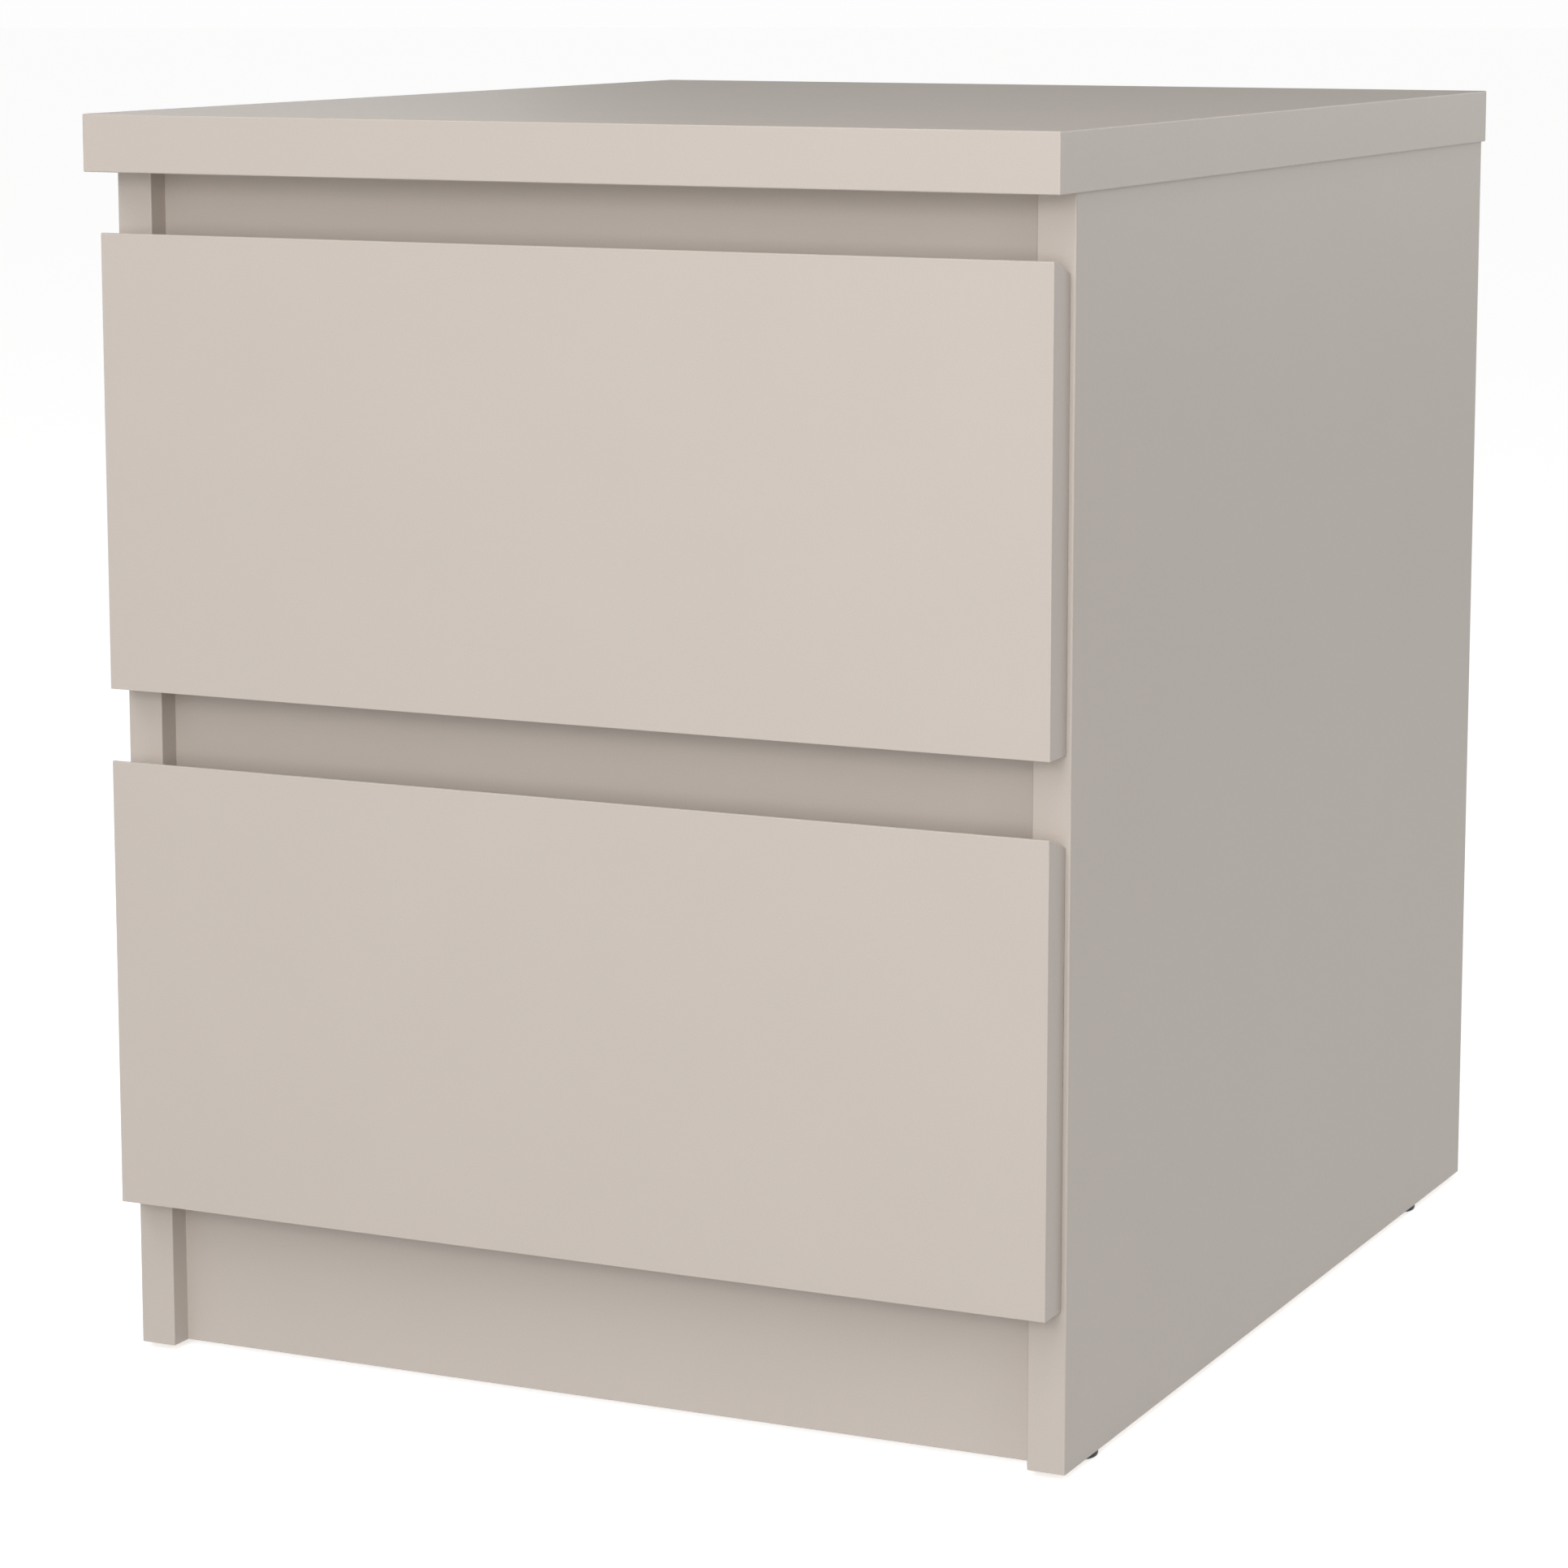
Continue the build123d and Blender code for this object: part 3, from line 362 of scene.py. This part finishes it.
def turned_tree(name, sizes, outline, thread=None, flutes=None, recess=None, around=20):
    """A Geometry Nodes tree that turns a fixing and sets one at each point, along the point's own axis.

    outline lists (radius, height) by the names of the sizes, or None for a radius of nothing. Heights
    run from the head, outside the board, to the point. thread is (stretch, pitch, depth, rows), flutes
    is (number, depth, radius) and recess is (width, length, depth, height), with their sizes by name.
    """
    tree = bpy.data.node_groups.new(name, "GeometryNodeTree")
    tree.interface.new_socket("Points", in_out="INPUT", socket_type="NodeSocketGeometry")
    for label, value in sizes.items():
        socket = tree.interface.new_socket(label, in_out="INPUT", socket_type="NodeSocketFloat")
        socket.default_value = value * MM
    tree.interface.new_socket("Finish", in_out="INPUT", socket_type="NodeSocketMaterial")
    tree.interface.new_socket("Geometry", in_out="OUTPUT", socket_type="NodeSocketGeometry")
    given = add(tree, "NodeGroupInput").outputs

    stretches = []
    for number, ((r_low, z_low), (r_high, z_high)) in enumerate(zip(outline, outline[1:])):
        threaded = thread and thread[0] == number
        grid = add(tree, "GeometryNodeMeshGrid", {
            "Size X": 1.0, "Size Y": 1.0, "Vertices X": around + 1,
            "Vertices Y": thread[3] if threaded else 2})
        at = add(tree, "ShaderNodeSeparateXYZ", [add(tree, "GeometryNodeInputPosition")]).outputs
        turn = add(tree, "ShaderNodeMath", [at[0], 0.5], operation="ADD")
        run = add(tree, "ShaderNodeMath", [at[1], 0.5], operation="ADD")
        radius = add(tree, "ShaderNodeMapRange", {
            "Value": run, "To Min": given[r_low] if r_low else 0.0,
            "To Max": given[r_high] if r_high else 0.0})
        height = add(tree, "ShaderNodeMapRange", {
            "Value": run, "To Min": given[z_low], "To Max": given[z_high]})
        if threaded:
            turns = add(tree, "ShaderNodeMath", [height, given[thread[1]]], operation="DIVIDE")
            step = add(tree, "ShaderNodeMath", [turns, turn], operation="SUBTRACT")
            tooth = add(tree, "ShaderNodeMath", [
                add(tree, "ShaderNodeMath", [step], operation="FRACT"), 0.5], operation="PINGPONG")
            crest = add(tree, "ShaderNodeMapRange", {
                "Value": tooth, "From Min": TOOTH_FOOT, "From Max": TOOTH_CREST})
            ridge = add(tree, "ShaderNodeMath", [crest, given[thread[2]]], operation="MULTIPLY")
            start = add(tree, "ShaderNodeMapRange", {
                "Value": run, "From Min": 0.0, "From Max": THREAD_FULL})
            fade = add(tree, "ShaderNodeMapRange", {
                "Value": run, "From Min": THREAD_FADES, "From Max": 1.0, "To Min": 1.0, "To Max": 0.0})
            ends = add(tree, "ShaderNodeMath", [start, fade], operation="MULTIPLY")
            radius = add(tree, "ShaderNodeMath", [ridge, ends, radius], operation="MULTIPLY_ADD")
        angle = add(tree, "ShaderNodeMath", [turn, 2 * math.pi], operation="MULTIPLY")
        if flutes:
            # in proportion to the radius, so that the ends meet the sides all round
            wave = add(tree, "ShaderNodeMath", [
                add(tree, "ShaderNodeMath", [angle, float(flutes[0])], operation="MULTIPLY")], operation="SINE")
            groove = add(tree, "ShaderNodeMapRange", {
                "Value": wave, "From Min": FLUTE_EDGE, "From Max": 1.0})
            share = add(tree, "ShaderNodeMath", [given[flutes[1]], given[flutes[2]]], operation="DIVIDE")
            cut_away = add(tree, "ShaderNodeMath", [groove, share], operation="MULTIPLY")
            left = add(tree, "ShaderNodeMath", [1.0, cut_away], operation="SUBTRACT")
            radius = add(tree, "ShaderNodeMath", [radius, left], operation="MULTIPLY")
        across = [add(tree, "ShaderNodeMath", [
            radius, add(tree, "ShaderNodeMath", [angle], operation=part)], operation="MULTIPLY")
            for part in ("COSINE", "SINE")]
        stretches.append(add(tree, "GeometryNodeSetPosition", {
            "Geometry": grid, "Position": add(tree, "ShaderNodeCombineXYZ", [*across, height])}))
    body = add(tree, "GeometryNodeMergeByDistance", {
        "Geometry": add(tree, "GeometryNodeJoinGeometry", {"Geometry": stretches}), "Distance": WELD})

    if recess:
        width, length, depth, height = (given[label] for label in recess)
        twice = add(tree, "ShaderNodeMath", [depth, 2.0], operation="MULTIPLY")
        bars = [add(tree, "GeometryNodeTransform", {
            "Geometry": add(tree, "GeometryNodeMeshCube", {
                "Size": add(tree, "ShaderNodeCombineXYZ", [length, width, twice])}),
            "Rotation": (0, 0, turned),
            "Translation": add(tree, "ShaderNodeCombineXYZ", {"Z": height})})
            for turned in (0.0, math.pi / 2)]
        body = add(tree, "GeometryNodeMeshBoolean", {
            "Mesh 1": body, "Mesh 2": add(tree, "GeometryNodeJoinGeometry", {"Geometry": bars}),
            "Self Intersection": True}, operation="DIFFERENCE", solver="EXACT")

    sharp = add(tree, "FunctionNodeCompare", {
        "A": add(tree, "GeometryNodeInputMeshEdgeAngle").outputs["Unsigned Angle"], "B": CREASE},
        data_type="FLOAT", operation="GREATER_THAN")
    creased = add(tree, "GeometryNodeStoreNamedAttribute", {
        "Geometry": body, "Name": "sharp_edge", "Value": sharp}, data_type="BOOLEAN", domain="EDGE")
    smooth = add(tree, "GeometryNodeSetShadeSmooth", {"Geometry": creased, "Shade Smooth": True})
    grained = add(tree, "GeometryNodeStoreNamedAttribute", {
        "Geometry": smooth, "Name": "along_grain", "Value": add(tree, "GeometryNodeInputPosition")},
        data_type="FLOAT_VECTOR", domain="POINT")

    axis = add(tree, "GeometryNodeInputNamedAttribute", {"Name": "axis"}, data_type="FLOAT_VECTOR")
    aligned = add(tree, "FunctionNodeAlignRotationToVector", {"Vector": axis}, axis="Z")
    spin = add(tree, "FunctionNodeRandomValue", {
        "Min": 0.0, "Max": 2 * math.pi, "Seed": SPIN_SEED}, data_type="FLOAT")
    about = add(tree, "FunctionNodeEulerToRotation", [add(tree, "ShaderNodeCombineXYZ", {"Z": spin})])
    spun = add(tree, "FunctionNodeRotateRotation", [aligned, about], rotation_space="LOCAL")
    set_out = add(tree, "GeometryNodeInstanceOnPoints", {
        "Points": given["Points"], "Instance": grained, "Rotation": spun})
    real = add(tree, "GeometryNodeRealizeInstances", {"Geometry": set_out})
    add(tree, "NodeGroupOutput", {"Geometry": add(tree, "GeometryNodeSetMaterial", {
        "Geometry": real, "Material": given["Finish"]})})
    return tree


def set_fixings(node, tree, sizes, head):
    """Makes a node's fixings with a tree and puts them in the CAD solids' place.

    head is how far a fixing stands out of the face it goes into.
    """
    places, axes = [], []
    for low, high, axis, head_is_low in solids_of(node):
        place = (low + high) / 2
        place[axis] = low[axis] + head * MM if head_is_low else high[axis] - head * MM
        direction = Vector((0, 0, 0))
        direction[axis] = 1 if head_is_low else -1
        places.append(place)
        axes.append(direction)
    mesh = bpy.data.meshes.new(node + "_places")
    mesh.from_pydata(places, [], [])
    attribute = mesh.attributes.new("axis", "FLOAT_VECTOR", "POINT")
    for item, direction in zip(attribute.data, axes):
        item.vector = direction
    seat = bpy.data.objects.new(node + "_places", mesh)
    bpy.context.scene.collection.objects.link(seat)
    maker = seat.modifiers.new("fixings", "NODES")
    maker.node_group = tree
    sockets = {item.name: item.identifier for item in tree.interface.items_tree if item.in_out == "INPUT"}
    for label, value in sizes.items():
        maker[sockets[label]] = value * MM
    maker[sockets["Finish"]] = finishes[slot_of[node]]
    made = bpy.data.meshes.new_from_object(seat.evaluated_get(bpy.context.evaluated_depsgraph_get()))
    seat.modifiers.remove(maker)
    bpy.data.objects.remove(seat)
    made.name = node + "_detailed"
    piece = bpy.data.objects.new(node + "_detailed", made)
    bpy.context.scene.collection.objects.link(piece)
    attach(piece, body_of[node])
    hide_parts(node)


# radii and heights in millimetres; heights count from the face that the head stands on
CROSS_RECESS = ("Recess width", "Recess length", "Recess depth", "Head top")
PAN_HEAD = [
    (None, "Head top"), ("Crown radius", "Head top"), ("Head radius", "Rim height"), ("Head radius", "Seat"),
    ("Shank radius", "Seat"), ("Shank radius", "Point start"), ("Tip radius", "Tip"), (None, "Tip")]
pan_sizes = {
    "Head top": -1.5, "Rim height": -0.9, "Seat": 0, "Point start": 11, "Tip": 12.2, "Crown radius": 3.1,
    "Head radius": 4.0, "Shank radius": 2.5, "Tip radius": 1.5, "Thread pitch": 1.9, "Thread depth": 0.5,
    "Recess width": 0.8, "Recess length": 3.4, "Recess depth": 1.0}
pan_tree = turned_tree("pan_head_screw", pan_sizes, PAN_HEAD, recess=CROSS_RECESS,
                       thread=(4, "Thread pitch", "Thread depth", 64))
set_fixings("cabinet_runner_screws", pan_tree, pan_sizes, -pan_sizes["Head top"])
wood_screw = {
    **pan_sizes, "Head top": -1.4, "Rim height": -0.8, "Point start": 7.6, "Tip": 10.2, "Crown radius": 2.4,
    "Head radius": 3.2, "Shank radius": 1.25, "Tip radius": 0.2, "Thread pitch": 1.3, "Thread depth": 0.5,
    "Recess width": 0.7, "Recess length": 3.0}

SUNK_HEAD = [
    (None, "Head top"), ("Head radius", "Head top"), ("Head radius", "Rim height"), ("Neck radius", "Neck"),
    ("Neck radius", "Thread start"), ("Shank radius", "Thread start"), ("Shank radius", "Point start"),
    ("Tip radius", "Tip"), (None, "Tip")]
back_screw = {
    "Head top": 0, "Rim height": 0.25, "Neck": 1.9, "Thread start": 12, "Point start": 34, "Tip": 38,
    "Head radius": 3.5, "Neck radius": 1.6, "Shank radius": 1.2, "Tip radius": 0.15, "Thread pitch": 1.6,
    "Thread depth": 0.55, "Recess width": 0.8, "Recess length": 3.4, "Recess depth": 1.2}
sunk_tree = turned_tree("countersunk_screw", back_screw, SUNK_HEAD, recess=CROSS_RECESS,
                        thread=(5, "Thread pitch", "Thread depth", 120))

# a bolt's heights count from its head's own top
BOLT = [
    (None, "Head top"), ("Crown radius", "Head top"), ("Head radius", "Head rim"), ("Head radius", "Head low"),
    ("Neck radius", "Head low"), ("Neck radius", "Shoulder"), ("Shank radius", "Shoulder"),
    ("Shank radius", "Collar"), ("Thread root", "Collar"), ("Thread root", "Point start"),
    ("Tip radius", "Tip"), (None, "Tip")]
carcass_bolt = {
    "Head top": 0, "Head rim": 0.5, "Head low": 3, "Shoulder": 9.5, "Collar": 25.5, "Point start": 35.3,
    "Tip": 36.5, "Crown radius": 2.4, "Head radius": 3.0, "Neck radius": 1.9, "Shank radius": 3.5,
    "Thread root": 1.9, "Tip radius": 1.4, "Thread pitch": 1.5, "Thread depth": 0.6}
drawer_bolt = {
    **carcass_bolt, "Shoulder": 8.0, "Shank radius": 2.8, "Neck radius": 1.5, "Head radius": 2.4,
    "Crown radius": 1.9}
bolt_tree = turned_tree("cam_bolt", carcass_bolt, BOLT, thread=(8, "Thread pitch", "Thread depth", 64))
set_fixings("cam_bolts", bolt_tree, carcass_bolt, 0)

nail = {
    "Head top": -0.8, "Rim height": -0.55, "Seat": 0, "Point start": 12, "Tip": 14, "Crown radius": 1.7,
    "Head radius": 2.2, "Shank radius": 0.8, "Tip radius": 0.1}
nail_tree = turned_tree("hardboard_nail", nail, PAN_HEAD, around=16)
set_fixings("back_panel_nails", nail_tree, nail, -nail["Head top"])

DOWEL = [
    (None, "Low end"), ("Chamfer radius", "Low end"), ("Radius", "Low shoulder"),
    ("Radius", "High shoulder"), ("Chamfer radius", "High end"), (None, "High end")]
carcass_dowel = {
    "Low end": 0, "Low shoulder": 0.7, "High shoulder": 29.3, "High end": 30, "Radius": 4.0,
    "Chamfer radius": 3.3, "Flute depth": 0.35}
drawer_dowel = {
    **carcass_dowel, "High shoulder": 28.3, "High end": 29, "Radius": 3.0, "Chamfer radius": 2.4}
dowel_tree = turned_tree("fluted_dowel", carcass_dowel, DOWEL, flutes=(16, "Flute depth", "Radius"),
                         around=96)
set_fixings("dowels", dowel_tree, carcass_dowel, 0)

for drawer in ("upper_drawer", "lower_drawer"):
    set_fixings(drawer + "_runner_screws", pan_tree, wood_screw, -wood_screw["Head top"])
    set_fixings(drawer + "_back_screws", sunk_tree, back_screw, 0)
    set_fixings(drawer + "_cam_bolts", bolt_tree, drawer_bolt, 0)
    set_fixings(drawer + "_dowels", dowel_tree, drawer_dowel, 0)

# ------------------------------------------------------------------ floor and backdrop
ROOM = 30.0                      # half the floor's width, and the screen's radius
WALL = 5.5                       # the screen's height
WHITE = (1, 1, 1, 1)
FLOOR_GLOW = 0.66
SCREEN_GLOW = 0.975              # as bright as the far floor


def stage_mesh(name, points, faces, material):
    """A part of the studio, which isn't part of the object."""
    mesh = bpy.data.meshes.new(name)
    mesh.from_pydata(points, [], faces)
    mesh.materials.append(material)
    made = bpy.data.objects.new(name, mesh)
    bpy.context.scene.collection.objects.link(made)
    return made


# acrylic sheet lit from below; it throws no diffuse light on the object
floor_finish, tree, _ = new_material("lit_white_acrylic")
add(tree, "ShaderNodeOutputMaterial", {"Surface": add(tree, "ShaderNodeBsdfPrincipled", {
    "Base Color": colour("#ededec"), "Roughness": 0.9, "Emission Color": WHITE,
    "Emission Strength": FLOOR_GLOW})})
floor = stage_mesh("floor", [(-ROOM, -ROOM, 0), (ROOM, -ROOM, 0), (ROOM, ROOM, 0), (-ROOM, ROOM, 0)],
                   [(0, 1, 2, 3)], floor_finish)
floor.visible_diffuse = False

# a low white screen round the studio, which adds no light of its own
screen_finish, tree, _ = new_material("white_screen")
add(tree, "ShaderNodeOutputMaterial", {"Surface": add(tree, "ShaderNodeBsdfPrincipled", {
    "Base Color": (0, 0, 0, 1), "Roughness": 1.0, "Emission Color": WHITE,
    "Emission Strength": SCREEN_GLOW})})
ring = [(ROOM * math.cos(math.radians(a)), ROOM * math.sin(math.radians(a))) for a in range(0, 360, 5)]
screen = stage_mesh(
    "backdrop", [(x, y, z) for z in (0, WALL) for x, y in ring],
    [(i, (i + 1) % len(ring), len(ring) + (i + 1) % len(ring), len(ring) + i) for i in range(len(ring))],
    screen_finish)
screen.visible_diffuse = screen.visible_glossy = screen.visible_shadow = False

# ------------------------------------------------------------------ light
SKY = 0.36                       # even light from all round
world = bpy.data.worlds.new("studio")
bpy.context.scene.world = world
world.use_nodes = True
world.node_tree.nodes["Background"].inputs["Color"].default_value = WHITE
world.node_tree.nodes["Background"].inputs["Strength"].default_value = SKY


def soft_light(name, place, target, size, power, spread=180):
    """A square area light that faces a point; its panel itself isn't seen."""
    data = bpy.data.lights.new(name, "AREA")
    data.shape = "SQUARE"
    data.size = size
    data.energy = power
    data.spread = math.radians(spread)
    light = bpy.data.objects.new(name, data)
    bpy.context.scene.collection.objects.link(light)
    light.location = place
    light.rotation_euler = (Vector(target) - Vector(place)).to_track_quat("-Z", "Y").to_euler()
    light.visible_camera = False


# place, target, size in metres, power in watts, and spread in degrees
soft_light("high_left_softbox", (-0.5, -1.7, 2.2), (0, -0.2, 0.3), 1.0, 10.2)
soft_light("high_right_softbox", (0.6, -1.1, 2.4), (0, -0.2, 0.3), 0.8, 7.1)
soft_light("front_softbox", (0.2, -2.0, 1.2), (0, -0.2, 0.42), 1.0, 8.4)
soft_light("low_front_softbox", (0.6, -2.6, 0.7), (0.1, -0.25, 0.35), 1.2, 23.3)
soft_light("rear_left_softbox", (-2.4, 2.6, 1.0), (0, 0, 0.45), 1.6, 0.9, 60)
soft_light("rear_right_softbox", (1.5, 3.0, 1.2), (0, 0, 0.45), 1.6, 2.8, 60)
soft_light("right_softbox", (2.2, -1.0, 1.2), (0.2, -0.1, 0.42), 0.9, 0.9, 70)
bpy.context.scene.view_settings.view_transform = "Standard"
